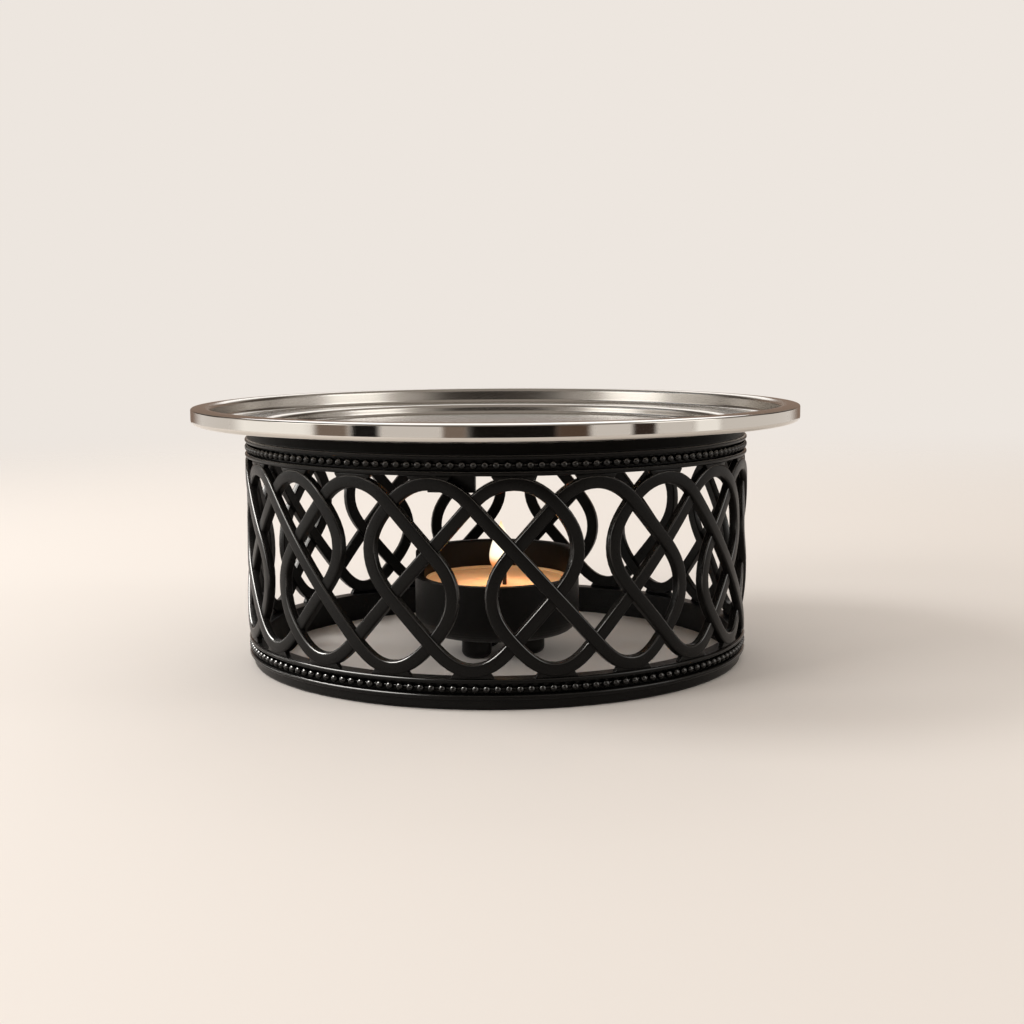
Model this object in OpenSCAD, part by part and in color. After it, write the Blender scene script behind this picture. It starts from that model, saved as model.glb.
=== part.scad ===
// Round teapot warmer: a black fretwork stand between two beaded rings, a pressed steel tray
// that drops into the stand's neck, and a small footed cup with a tealight inside.
// Millimetres. The table is z = 0, the axis is x = y = 0, and the front faces -Y.

/* [Stand] */
// Diameter over the ridges of both rings
stand_d = 130.4; // [116:0.2:150]
// Height from the table to the seat under the tray
stand_h = 61.7; // [52:0.1:80]
// Thickness of the rings, from the bore to the crest of a ridge
ring_wall = 4.2; // [3.6:0.1:5]
// Height of each rounded ridge
ridge_h = 1.2; // [0.8:0.1:1.8]
// Depth of the groove that holds the beads
groove_depth = 1.9; // [1.6:0.1:2.1]
// Height of the plain foot under the base ring's ridges
foot_h = 2.6; // [2:0.1:5]
// How far the foot sits in from the ridges
foot_inset = 1.1; // [0.6:0.1:1.6]
// How far the foot draws in at the table
foot_draw = 0.9; // [0.4:0.1:1.2]
// Height of the plain neck above the top ring's ridges
neck_h = 3.1; // [2.4:0.1:5]
// How far the neck sits in from the ridges
neck_inset = 0.7; // [0.6:0.1:1.4]
// Thickness of the neck
neck_wall = 1.6; // [1.4:0.1:2]

/* [Beading] */
// Diameter of a bead
bead_d = 1.9; // [1.4:0.1:2]
// Number of beads in a row
bead_count = 158; // [120:1:168]
// Diameter of the wire that the beads are strung on
bead_wire_d = 0.8; // [0.5:0.1:1]
// Room between a bead and the ridges beside it
bead_side_gap = 0.3; // [0.1:0.05:0.5]
// Room between a bead and the bottom of its groove
bead_seat_gap = 0.05; // [0.02:0.01:0.15]

/* [Fretwork] */
// Number of times that the knot repeats round the stand
knot_repeats = 7; // [6:1:8]
// Angle from the front to the first knot's upper turn-back, to the right
knot_turn = 20.6; // [-30:0.1:30]
// Width of the strand
strand_w = 3.3; // [2.4:0.1:3.6]
// Thickness of the strand, towards the axis
strand_t = 2; // [1.6:0.1:3.2]
// Draft of the strand: how much each side draws in from its back to its face
strand_draft = 0.15; // [0.05:0.05:0.6]
// How far a strand rises where it passes over, and sinks where it passes under
weave_relief = 0.35; // [0.1:0.05:0.5]
// How far the strand's face sits in from the ridges
fret_inset = 0.1; // [0:0.1:1]
// Rise of the upper arches above the first row of crossings
upper_rise = 4.8; // [4:0.1:6.5]
// Drop of the lower arches below the last row of crossings
lower_rise = 5.9; // [4:0.1:6.5]
// Distance from the middle of a turn-back to its strand
turn_back = 4.5; // [4:0.1:5.6]
// Width of the ties that join the arches to the rings
tie_w = 8; // [6:0.2:11]
// Height of the ties
tie_h = 1.7; // [1:0.1:2.4]
// Thickness of the ties, towards the axis
tie_t = 1.4; // [1:0.1:2]
// Room between the outer edge of an arch and its ring, which the tie closes
arch_gap = 0.1; // [0:0.1:0.8]

/* [Lugs] */
// Number of lugs inside the top ring
lug_count = 3; // [2:1:6]
// Width of a lug
lug_w = 11; // [6:0.5:16]
// Height of a lug
lug_h = 9; // [6:0.5:12]
// Thickness of a lug, towards the axis
lug_t = 2.6; // [1.6:0.1:4]
// Angle from the front to the first lug, to the right
lug_turn = -9.7; // [-60:0.1:60]

/* [Tray] */
// Diameter of the tray over its rim
tray_d = 157.2; // [150:0.2:176]
// Thickness of the steel sheet
sheet = 0.6; // [0.5:0.05:0.7]
// Width of the rolled rim
rim_w = 4.8; // [4.2:0.1:6.5]
// Height of the rim's outer band, with its rounded edges
rim_band_h = 4.1; // [3.4:0.1:5]
// Height of the rim above the ledge
rim_rise = 4.1; // [3.2:0.1:6]
// Depth of the well below the ledge
well_depth = 2.7; // [2.6:0.1:3]
// Room between the well and the stand's neck
well_gap = 0.4; // [0.2:0.05:0.8]
// Length of the lip that is turned in under the rim
hem_w = 1; // [0.4:0.1:1.4]

/* [Candle cup] */
// Outer diameter of the cup
cup_d = 43.4; // [38:0.2:56]
// Height of the cup's front lip above the table
cup_lip_h = 20.9; // [19:0.1:26]
// Height of the cup's raised back above its lip
cup_back_h = 6.5; // [3:0.1:10]
// Thickness of the cup's wall
cup_wall = 2.4; // [1.8:0.1:3]
// Thickness of the cup's floor
cup_floor_t = 2.5; // [2:0.1:3.5]
// Rounding under the cup
cup_round = 4.7; // [3:0.1:5]
// Rounding where the lip meets the raised back
cup_step_round = 3; // [1:0.1:3]
// How far behind the axis the raised back starts
cup_step_y = 2; // [-4:0.5:8]
// Number of feet under the cup
cup_foot_count = 3; // [3:1:5]
// Diameter of a foot
cup_foot_d = 7.8; // [5:0.1:9]
// Height of a foot
cup_foot_h = 6; // [4:0.1:8]
// Rounding at the bottom of a foot
cup_foot_round = 2; // [0.5:0.1:2.4]
// Distance from the axis to a foot
cup_foot_reach = 8.7; // [8:0.1:11]
// Angle from the front to the first foot, to the right
cup_foot_turn = -39; // [-60:1:60]

/* [Tealight] */
// Height of the wax
wax_h = 11.8; // [9:0.1:14]
// Room between the wax and the cup's wall
wax_gap = 0.4; // [0.2:0.05:0.8]
// Rounding at the wax's upper edge
wax_round = 0.6; // [0.3:0.1:1]
// Diameter of the wick
wick_d = 1.1; // [1:0.1:2]
// Distance from the axis to the wick, which drifts in the molten wax
wick_reach = 9.4; // [0:0.2:9.6]
// Angle from the front to the wick, to the right
wick_place = 12; // [-180:1:180]
// Length of wick above the wax, before it bends
wick_stem = 2.4; // [0.5:0.1:3]
// Radius of the wick's bend
wick_bend_r = 5; // [3:0.1:8]
// Angle of the wick's bend
wick_bend = 34; // [10:1:60]
// Angle from the front towards which the wick leans, to the right
wick_turn = -100; // [-180:5:180]
// Room round the wick, in the wax and in its holder
wick_gap = 0.1; // [0.05:0.05:0.2]
// Diameter of the wick holder's disc
holder_d = 14; // [10:0.5:16]
// Thickness of the wick holder's sheet
holder_t = 0.3; // [0.2:0.05:0.5]
// Height of the wick holder's collar
holder_collar_h = 3; // [2:0.1:5]
// Room round the wick holder, in the wax
holder_gap = 0.1; // [0.05:0.05:0.3]

/* [Hidden] */
$fn = 96;

stand_r = stand_d / 2;
ring_bore_r = stand_r - ring_wall;
groove_r = stand_r - groove_depth;
groove_h = bead_d + 2 * bead_side_gap;
neck_r = stand_r - neck_inset;
neck_bore_r = neck_r - neck_wall;
band_h = ridge_h + groove_h + ridge_h;
base_ring_h = foot_h + band_h;
top_ring_z = stand_h - neck_h - band_h;
shoulder_z = stand_h - neck_h;
bead_r = groove_r + bead_seat_gap + bead_d / 2;

// Rows of the knot, from the lower arches to the upper ones
fret_r = stand_r - fret_inset;
lower_arch_z = base_ring_h + arch_gap + strand_w / 2;
upper_arch_z = top_ring_z - arch_gap - strand_w / 2;
first_row_z = lower_arch_z + lower_rise;
last_row_z = upper_arch_z - upper_rise;
row_step = (last_row_z - first_row_z) / 3;
row_z = [
    lower_arch_z,
    first_row_z,
    first_row_z + row_step,
    last_row_z - row_step,
    last_row_z,
    upper_arch_z
];

arches_per_knot = 3;
arch_count = knot_repeats * arches_per_knot;
arch_turn = 360 / arch_count;
arch_w = fret_r * arch_turn * PI / 180;
turn_share = turn_back / arch_w;

// Way of the strand through one knot, in runs from one turn-back to the next. Each stop is a count
// of arches along the ring and a row.
knot_runs = [
    [
        [turn_share, 3], [0.5, 4], [1, 5], [1.5, 4], [2, 3],
        [2.5, 2], [3, 1], [3.5, 0], [4, 1], [4.5 - turn_share, 2]
    ],
    [
        [4.5 - turn_share, 2], [4, 3], [3.5, 4], [3, 5], [2.5, 4],
        [2, 3], [1.5 + turn_share, 2]
    ],
    [
        [1.5 + turn_share, 2], [2, 1], [2.5, 0], [3, 1], [3.5, 2],
        [4, 3], [4.5, 4], [5, 5], [5.5, 4], [6 - turn_share, 3]
    ],
    [
        [6 - turn_share, 3], [5.5, 2], [5, 1], [4.5, 0], [4, 1],
        [3.5, 2], [3 + turn_share, 3]
    ]
];
leg_fullness = 1.08;
straight_steps = 1;
curve_steps = 3;
point_grid = 0.00001;
strand_outline = [
    [-strand_w / 2, -strand_t],
    [strand_w / 2, -strand_t],
    [strand_w / 2 - strand_draft, 0],
    [strand_draft - strand_w / 2, 0]
];
tie_slope = 1.2;
tie_sink = 0.3;

// Middle line of the tray's sheet, and its bends
tray_r = tray_d / 2;
ledge_z = stand_h + sheet / 2;
rim_z = ledge_z + rim_rise;
floor_z = ledge_z - well_depth;
well_r = neck_bore_r - well_gap - sheet / 2;
rim_wall_r = tray_r - rim_w + sheet / 2;
skirt_r = tray_r - sheet / 2;
hem_z = rim_z + sheet - rim_band_h;
wide_bend = 1.4;
small_bend = 0.9;
tight_bend = 0.4;
hem_bend = 0.8;
seat_chamfer = small_bend - sheet / 2 + well_gap;
// Each bend: middle, radius, first and last angle
tray_bends = [
    [well_r - wide_bend, floor_z + wide_bend, wide_bend, -90, 0],
    [well_r + small_bend, ledge_z - small_bend, small_bend, 180, 90],
    [rim_wall_r - wide_bend, ledge_z + wide_bend, wide_bend, -90, 0],
    [rim_wall_r + small_bend, rim_z - small_bend, small_bend, 180, 90],
    [skirt_r - tight_bend, rim_z - tight_bend, tight_bend, 90, 0],
    [skirt_r - hem_bend, hem_z + hem_bend, hem_bend, 0, -90]
];
hem_end = [skirt_r - hem_bend - hem_w, hem_z];

cup_r = cup_d / 2;
cup_bore_r = cup_r - cup_wall;
cup_floor_z = cup_foot_h + cup_floor_t;
cup_top_z = cup_lip_h + cup_back_h;
cup_lip_round = cup_wall / 4;
wax_r = cup_bore_r - wax_gap;
wax_top_z = cup_floor_z + wax_h;
wick_hole_r = wick_d / 2 + wick_gap;
holder_collar_r = wick_hole_r + holder_t;
wick_foot_z = cup_floor_z + holder_gap;
wick_sides = 10;
wick_steps = 4;

// Points of an arc about a middle c
function arc(c, r, from, to, steps = 6) = [
    for (i = [0:steps])
        let (a = from + (to - from) * i / steps)
        [c[0] + r * cos(a), c[1] + r * sin(a)]
];

function reversed(list) = [for (i = [len(list) - 1:-1:0]) list[i]];

function joined(lists) = [for (l = lists) for (p = l) p];

// Outline of a ridge's rounded crest, from its lower edge to its upper edge
function ridge_crest(z) = arc([stand_r - ridge_h / 2, z + ridge_h / 2], ridge_h / 2, -90, 90, 8);

// Outline of the two ridges and the bead groove between them
function beaded_band(z) = joined([
    ridge_crest(z),
    [[groove_r, z + ridge_h], [groove_r, z + ridge_h + groove_h]],
    ridge_crest(z + ridge_h + groove_h)
]);

// One side of the tray's sheet: 1 is the upper side, -1 the lower one
function tray_side(side) = joined([
    for (b = tray_bends)
        arc([b[0], b[1]], b[2] - side * sign(b[4] - b[3]) * sheet / 2, b[3], b[4])
]);

// Place on the stand of a point of the unrolled fretwork: along the ring, up, out, and to the
// side of a strand with that heading
function on_stand(along, z, out, side = 0, heading = 0) =
    let (
        turn = knot_turn + along / arch_w * arch_turn,
        outward = [sin(turn), -cos(turn), 0],
        sideways = [cos(turn), sin(turn), 0],
        place = out * outward - side * sin(heading) * sideways + [0, 0, z + side * cos(heading)]
    )
    [for (c = place) round(c / point_grid) * point_grid];

// Heading of the strand at a stop: along at an arch, upright at a turn-back, or across the grid
function stop_heading(run, i) =
    let (
        last = len(run) - 1,
        before = run[max(i - 1, 0)],
        after = run[min(i + 1, last)],
        along = i == 0 || i == last ? 0 : sign(after[0] - before[0]),
        climb = sign(after[1] - before[1])
    )
    atan2(climb * row_step, along * arch_w / 2);

function stop_place(run, i, knot) =
    [(run[i][0] + knot * arches_per_knot) * arch_w, row_z[run[i][1]]];

function direction(a) = [cos(a), sin(a)];

// Smooth leg between two stops: place and slope at a share t of the way
function leg_place(a, b, da, db, t) =
    a * (1 + 2 * t) * (1 - t) * (1 - t) + da * t * (1 - t) * (1 - t)
    + b * t * t * (3 - 2 * t) - db * t * t * (1 - t);

function leg_slope(a, b, da, db, t) =
    (b - a) * 6 * t * (1 - t) + da * (1 - t) * (1 - 3 * t) + db * t * (3 * t - 2);

// Cross section of the strand, raised where it runs down to the right and sunk where it runs up
function strand_section(place, heading) =
    let (lift = -weave_relief * sin(2 * heading))
    [for (p = strand_outline) on_stand(place[0], place[1], fret_r + lift + p[1], p[0], heading)];

// Cross sections of the leg that starts at stop i, without the last, which starts the next leg
function leg_sections(run, i, knot) =
    let (
        a = stop_place(run, i, knot),
        b = stop_place(run, i + 1, knot),
        turning = abs(stop_heading(run, i) - stop_heading(run, i + 1)) > 1,
        steps = turning ? curve_steps : straight_steps,
        reach = leg_fullness * norm(b - a),
        da = reach * direction(stop_heading(run, i)),
        db = reach * direction(stop_heading(run, i + 1))
    )
    [
        for (k = [0:steps - 1])
            let (slope = leg_slope(a, b, da, db, k / steps))
            strand_section(leg_place(a, b, da, db, k / steps), atan2(slope[1], slope[0]))
    ];

function run_sections(run, knot) =
    let (last = len(run) - 1)
    [
        for (i = [0:last - 1]) each leg_sections(run, i, knot),
        strand_section(stop_place(run, last, knot), stop_heading(run, last))
    ];

// Solid through a row of cross sections that have as many points each
module swept(sections) {
    n = len(sections[0]);
    last = n * (len(sections) - 1);
    fan = [for (i = [1:n - 2]) [0, i, i + 1]];
    sides = [
        for (k = [0:len(sections) - 2])
            for (i = [0:n - 1])
                let (a = k * n + i, b = k * n + (i + 1) % n)
                each [[a, a + n, b], [b, a + n, b + n]]
    ];
    polyhedron(
        joined(sections),
        concat(fan, sides, [for (f = fan) [last + f[0], last + f[2], last + f[1]]])
    );
}

// Tie between an arch and its ring, wider at the ring, with its ends on two cross sections
module tie(arch, ring_z, arch_z) {
    out = fret_r - tie_sink;
    ends = [
        for (end = [-1, 1]) [
            for (p = [[ring_z, tie_w / 2 + tie_slope, 0], [arch_z, tie_w / 2, 0],
                      [arch_z, tie_w / 2, tie_t], [ring_z, tie_w / 2 + tie_slope, tie_t]])
                on_stand(arch * arch_w + end * p[1], p[0], out - p[2])
        ]
    ];
    hull()
        swept(ends);
}

module tray() {
    color("lightgray")
        rotate_extrude()
            polygon(concat(
                [[0, floor_z + sheet / 2]],
                tray_side(1),
                arc(hem_end, sheet / 2, 270, 90),
                reversed(tray_side(-1)),
                [[0, floor_z - sheet / 2]]
            ));
}

module top_ring() {
    color("dimgray")
        rotate_extrude()
            polygon(concat(
                [[ring_bore_r, top_ring_z]],
                beaded_band(top_ring_z),
                [
                    [neck_r, shoulder_z],
                    [neck_r, stand_h],
                    [neck_bore_r + seat_chamfer, stand_h],
                    [neck_bore_r, stand_h - seat_chamfer],
                    [neck_bore_r, shoulder_z],
                    [ring_bore_r, shoulder_z]
                ]
            ));
}

module base_ring() {
    foot_r = stand_r - foot_inset;
    color("dimgray")
        rotate_extrude()
            polygon(concat(
                [[ring_bore_r, 0]],
                arc([foot_r - foot_draw, foot_draw], foot_draw, -90, 0),
                [[foot_r, foot_h]],
                beaded_band(foot_h),
                [[ring_bore_r, base_ring_h]]
            ));
}

// Ring of beads, each with the straight length of wire that runs into the next bead
module bead_wire(z) {
    bead_turn = 360 / bead_count;
    bead_pitch = 2 * bead_r * sin(bead_turn / 2);
    wire_end = bead_d / 4;
    for (i = [0:bead_count - 1])
        rotate(i * bead_turn)
            translate([0, -bead_r, z]) {
                rotate(90)
                    sphere(d = bead_d);
                rotate([0, 90, bead_turn / 2])
                    translate([0, 0, wire_end])
                        cylinder(d = bead_wire_d, h = bead_pitch - 2 * wire_end);
            }
}

module top_bead_wire() {
    color("dimgray") bead_wire(top_ring_z + ridge_h + groove_h / 2);
}

module base_bead_wire() {
    color("dimgray") bead_wire(foot_h + ridge_h + groove_h / 2);
}

module fretwork() {
    color("dimgray") {
        for (knot = [0:knot_repeats - 1])
            for (run = knot_runs)
                swept(run_sections(run, knot));
        for (arch = [0:arch_count - 1]) {
            tie(arch, top_ring_z, top_ring_z - tie_h);
            tie(arch + 0.5, base_ring_h, base_ring_h + tie_h);
        }
    }
}

module tray_lugs() {
    half_turn = asin(lug_w / 2 / ring_bore_r);
    color("dimgray")
        for (i = [0:lug_count - 1])
            rotate(lug_turn - 90 - half_turn + i * 360 / lug_count)
                rotate_extrude(angle = 2 * half_turn)
                    translate([ring_bore_r - lug_t, shoulder_z - lug_h])
                        square([lug_t, lug_h]);
}

module cup_body() {
    rotate_extrude()
        polygon(concat(
            [[0, cup_foot_h]],
            arc([cup_r - cup_round, cup_foot_h + cup_round], cup_round, -90, 0, 8),
            arc([cup_r - cup_lip_round, cup_top_z - cup_lip_round], cup_lip_round, 0, 90),
            arc([cup_bore_r + cup_lip_round, cup_top_z - cup_lip_round], cup_lip_round, 90, 180),
            [[cup_bore_r, cup_floor_z], [0, cup_floor_z]]
        ));
}

// Outline, from the side, of what is cut away above the front lip
module front_cut() {
    front_y = -cup_d;
    polygon(concat(
        [[front_y, cup_top_z + cup_back_h], [front_y, cup_lip_h]],
        arc([cup_step_y - cup_step_round, cup_lip_h + cup_step_round], cup_step_round, -90, 0),
        [[cup_step_y, cup_top_z + cup_back_h]]
    ));
}

module candle_cup() {
    color("dimgray")
        difference() {
            cup_body();
            translate([-cup_d, 0, 0])
                rotate([90, 0, 90])
                    linear_extrude(2 * cup_d)
                        front_cut();
        }
}

module cup_feet() {
    foot_r = cup_foot_d / 2;
    color("dimgray")
        for (i = [0:cup_foot_count - 1])
            rotate(cup_foot_turn + i * 360 / cup_foot_count)
                translate([0, -cup_foot_reach, 0])
                    rotate_extrude()
                        polygon(concat(
                            [[0, 0]],
                            arc([foot_r - cup_foot_round, cup_foot_round], cup_foot_round, -90, 0),
                            [[foot_r, cup_foot_h], [0, cup_foot_h]]
                        ));
}

// Moves to the place of the wick
module at_wick() {
    translate([wick_reach * sin(wick_place), -wick_reach * cos(wick_place), 0])
        children();
}

// Outline of the room in the wax for the wick and its holder
module wick_room() {
    recess_z = cup_floor_z + holder_t + 2 * holder_gap;
    collar_z = recess_z + holder_collar_h;
    recess_r = holder_d / 2 + holder_gap;
    collar_r = holder_collar_r + holder_gap;
    polygon([
        [0, cup_floor_z - holder_gap],
        [recess_r, cup_floor_z - holder_gap],
        [recess_r, recess_z],
        [collar_r, recess_z],
        [collar_r, collar_z],
        [wick_hole_r, collar_z],
        [wick_hole_r, wax_top_z + wax_round],
        [0, wax_top_z + wax_round]
    ]);
}

module wax() {
    color("wheat")
        difference() {
            rotate_extrude()
                polygon(concat(
                    [[0, wax_top_z], [0, cup_floor_z], [wax_r, cup_floor_z]],
                    arc([wax_r - wax_round, wax_top_z - wax_round], wax_round, 0, 90)
                ));
            at_wick()
                rotate_extrude()
                    wick_room();
        }
}

// Ring of points round the wick's middle line, at a share t of its bend
function wick_ring(z, t) =
    let (
        lean = t * wick_bend,
        out = wick_bend_r * (1 - cos(lean)),
        up = z + wick_bend_r * sin(lean)
    )
    [
        for (i = [0:wick_sides - 1])
            let (a = i * 360 / wick_sides, across = wick_d / 2 * cos(a))
            [out + across * cos(lean), wick_d / 2 * sin(a), up - across * sin(lean)]
    ];

module wick() {
    stem_top = wax_top_z + wick_stem;
    rings = [
        wick_ring(wick_foot_z, 0),
        for (k = [0:wick_steps]) wick_ring(stem_top, k / wick_steps)
    ];
    color("black")
        at_wick()
            rotate(wick_turn - 90)
                swept(rings);
}

module wick_holder() {
    color("silver")
        at_wick()
            translate([0, 0, wick_foot_z])
                rotate_extrude()
                    polygon([
                        [wick_hole_r, 0],
                        [holder_d / 2, 0],
                        [holder_d / 2, holder_t],
                        [holder_collar_r, holder_t],
                        [holder_collar_r, holder_collar_h],
                        [wick_hole_r, holder_collar_h]
                    ]);
}

tray();
top_ring();
top_bead_wire();
fretwork();
tray_lugs();
base_ring();
base_bead_wire();
candle_cup();
cup_feet();
wax();
wick();
wick_holder();
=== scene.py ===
import math

import bpy
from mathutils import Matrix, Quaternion, Vector


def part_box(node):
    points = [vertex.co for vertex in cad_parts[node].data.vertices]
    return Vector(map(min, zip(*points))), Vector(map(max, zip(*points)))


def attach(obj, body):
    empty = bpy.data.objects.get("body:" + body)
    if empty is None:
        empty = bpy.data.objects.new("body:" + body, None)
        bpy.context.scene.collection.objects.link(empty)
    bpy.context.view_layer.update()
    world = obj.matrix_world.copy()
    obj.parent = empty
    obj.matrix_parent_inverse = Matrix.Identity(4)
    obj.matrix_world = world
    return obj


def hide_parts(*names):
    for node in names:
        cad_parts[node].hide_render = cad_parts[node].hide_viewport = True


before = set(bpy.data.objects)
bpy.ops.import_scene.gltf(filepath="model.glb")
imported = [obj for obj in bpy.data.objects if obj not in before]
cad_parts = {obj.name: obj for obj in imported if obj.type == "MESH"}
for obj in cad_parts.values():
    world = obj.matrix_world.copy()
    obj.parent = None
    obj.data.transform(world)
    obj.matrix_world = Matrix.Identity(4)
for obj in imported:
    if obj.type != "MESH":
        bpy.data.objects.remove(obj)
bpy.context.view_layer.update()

# All sizes are in metres. The warmer stands on z = 0, about the Z axis, with its front to -Y.
MM = 0.001

# Places that the frame gives
stand_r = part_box("base_ring")[1].x
base_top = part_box("base_ring")[1].z
top_ring_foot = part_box("top_ring")[0].z
seat_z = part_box("top_ring")[1].z
tray_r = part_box("tray")[1].x
rim_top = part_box("tray")[1].z
tray_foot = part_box("tray")[0].z
wax_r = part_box("wax")[1].x
wax_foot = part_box("wax")[0].z
wax_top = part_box("wax")[1].z

# Rings of the stand
ring_wall = 4.2 * MM
ridge_h = 1.2 * MM
groove_depth = 1.9 * MM
groove_h = 2.5 * MM
foot_h = 2.6 * MM
foot_inset = 1.1 * MM
foot_draw = 0.9 * MM
neck_h = 3.1 * MM
neck_inset = 0.7 * MM
neck_wall = 1.6 * MM
seat_chamfer = 1 * MM
edge_round = 0.25 * MM

# Beading
bead_d = 1.9 * MM
bead_count = 158
bead_seat_gap = 0.05 * MM
bead_wire_d = 0.8 * MM

# Fretwork
knot_repeats = 7
arches_per_knot = 3
knot_turn = math.radians(20.6)
strand_w = 3.3 * MM
strand_t = 2 * MM
strand_draft = 0.15 * MM
strand_round = 0.5 * MM
weave_relief = 0.35 * MM
fret_inset = 0.1 * MM
upper_rise = 4.8 * MM
lower_rise = 5.9 * MM
turn_back = 4.5 * MM
arch_gap = 0.1 * MM
leg_fullness = 1.08
tie_w = 8 * MM
tie_h = 1.7 * MM
tie_t = 1.4 * MM
tie_slope = 1.2 * MM
tie_sink = 0.3 * MM

# Tray
sheet = 0.6 * MM
rim_w = 4.8 * MM
rim_band_h = 4.1 * MM
well_gap = 0.4 * MM
wide_bend = 1.4 * MM
small_bend = 0.9 * MM
tight_bend = 0.05 * MM
hem_bend = 0.8 * MM
hem_w = 1 * MM
wall_draft = 5
rim_crown = 0.1 * MM
crown_fall = 0.3 * MM

# Tealight
brim_round = 0.2 * MM
brim_w = 1.6 * MM
pool_depth = 0.5 * MM
pool_hollow = 0.1 * MM
meniscus_r = 1.2 * MM
wick_d = 1.1 * MM
wick_reach = 9.4 * MM
wick_place = math.radians(12)
wick_foot_gap = 1 * MM
wick_stem = 2.4 * MM
wick_bend_r = 5 * MM
wick_bend = math.radians(34)
wick_turn = math.radians(-100)
flame_foot = wax_top + 2.6 * MM
flame_h = 13.5 * MM
flame_d = 6.2 * MM

# Studio. A fade runs from full to nothing: on the floor and the dome in metres, on a card in shares of
# its width.
room_light = 0.7
aim_h = 0.03
floor_r = 1.5
floor_fade = (0.25, 0.85)
dome_r = 1.3
dome_fade = (0.3, 0.1)
dome_shade = (-0.95 * dome_r, -0.7 * dome_r)
card_r = 0.62
card_h = 0.1
board_h = 0.6
card_fade = (0.26, 0.5)
white_card = "#FFFBF5"
taupe_card = "#8A7A6E"
black_card = "#181512"
shade_card = "#453C35"

# Camera
camera_back = 420.42 * MM
camera_h = 90.97 * MM
camera_pitch = math.radians(7.252)
camera_yaw = math.radians(0.556)
camera_roll = math.radians(-0.355)


# Tools of the modeller

def deselect():
    bpy.ops.object.select_all(action="DESELECT")


def sign(x):
    return (x > 0) - (x < 0)


def arc(centre, r, start, end, steps=8):
    """Points of an arc round a centre, from one angle to another, in degrees."""
    angles = [math.radians(start + (end - start) * i / steps) for i in range(steps + 1)]
    return [(centre[0] + r * math.cos(a), centre[1] + r * math.sin(a)) for a in angles]


def held(outline):
    """The outline with a point just off both ends of each long straight stretch, which keeps that
    stretch flat when it is shaded smooth."""
    reach = 0.1 * MM
    points = outline[:1]
    for (r, z), (next_r, next_z) in zip(outline, outline[1:]):
        length = math.hypot(next_r - r, next_z - z)
        if length > 4 * reach:
            for share in (reach / length, 1 - reach / length):
                points.append((r + (next_r - r) * share, z + (next_z - z) * share))
        points.append((next_r, next_z))
    return points


def turned(name, outline, sides=192, solid=False):
    """A piece turned on the stand's axis: a circle, drawn out from point to point of an outline of
    radii and heights. A solid one starts and ends with a disc, and a ring closes on itself."""
    deselect()
    r, z = outline[0]
    bpy.ops.mesh.primitive_circle_add(
        vertices=sides, radius=r, fill_type="NGON" if solid else "NOTHING", location=(0, 0, z)
    )
    piece = bpy.context.object
    piece.name = name
    bpy.ops.object.transform_apply()
    bpy.ops.object.mode_set(mode="EDIT")
    bpy.ops.mesh.select_all(action="SELECT")
    for next_r, next_z in outline[1:]:
        bpy.ops.mesh.extrude_region_move(TRANSFORM_OT_translate={"value": (0, 0, next_z - z)})
        share = next_r / r
        bpy.ops.transform.resize(value=(share, share, 1), center_override=(0, 0, 0))
        r, z = next_r, next_z
    tidy_mesh()
    bpy.ops.object.mode_set(mode="OBJECT")
    return piece


def tidy_mesh():
    """Merges doubles and turns the faces of the open mesh outwards."""
    bpy.ops.mesh.select_all(action="SELECT")
    bpy.ops.mesh.remove_doubles(threshold=0.001 * MM)
    bpy.ops.mesh.normals_make_consistent(inside=False)


def apply_modifier(piece, kind, **settings):
    modifier = piece.modifiers.new(kind.lower(), kind)
    for key, value in settings.items():
        setattr(modifier, key, value)
    bpy.context.view_layer.objects.active = piece
    bpy.ops.object.modifier_apply(modifier=modifier.name)


def join(piece, *others):
    """Makes the other pieces part of the first one."""
    deselect()
    for o in (piece, *others):
        o.select_set(True)
    bpy.context.view_layer.objects.active = piece
    bpy.ops.object.join()
    return piece


def select_vertices(piece, wanted):
    """Selects the vertices of the open mesh that a test of their place picks."""
    bpy.ops.mesh.select_mode(type="VERT")
    bpy.ops.mesh.select_all(action="DESELECT")
    bpy.ops.object.mode_set(mode="OBJECT")
    for v in piece.data.vertices:
        v.select = wanted(v.co)
    bpy.ops.object.mode_set(mode="EDIT")


def smooth(piece, angle=35):
    deselect()
    piece.select_set(True)
    bpy.context.view_layer.objects.active = piece
    bpy.ops.object.shade_smooth_by_angle(angle=math.radians(angle))


def fitted(piece, material, body, slot, *nodes):
    """Finishes a piece: its material, the body that it rides on, and the nodes that it stands for. The
    slot is not used."""
    piece.data.materials.clear()
    piece.data.materials.append(material)
    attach(piece, body)
    if nodes:
        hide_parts(*nodes)
    return piece


# Materials

def colour(code):
    """Linear colour of an sRGB hex code, with full alpha."""
    channels = [int(code[i:i + 2], 16) / 255 for i in (1, 3, 5)]
    return [c / 12.92 if c <= 0.04045 else ((c + 0.055) / 1.055) ** 2.4 for c in channels] + [1]


def add(tree, kind, inputs=None, **settings):
    """Adds a node with its settings. An input is a value, or the socket that it is linked to."""
    node = tree.nodes.new(kind)
    for key, value in settings.items():
        setattr(node, key, value)
    for key, value in (inputs or {}).items():
        if isinstance(value, bpy.types.NodeSocket):
            tree.links.new(value, node.inputs[key])
        else:
            node.inputs[key].default_value = value
    return node


def new_material(name):
    material = bpy.data.materials.new(name)
    material.use_nodes = True
    material.node_tree.nodes.clear()
    return material, material.node_tree


def per_mm(size):
    """Scale of a pattern whose features are that many millimetres apart, on object coordinates."""
    return 1 / (size * MM)


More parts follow.
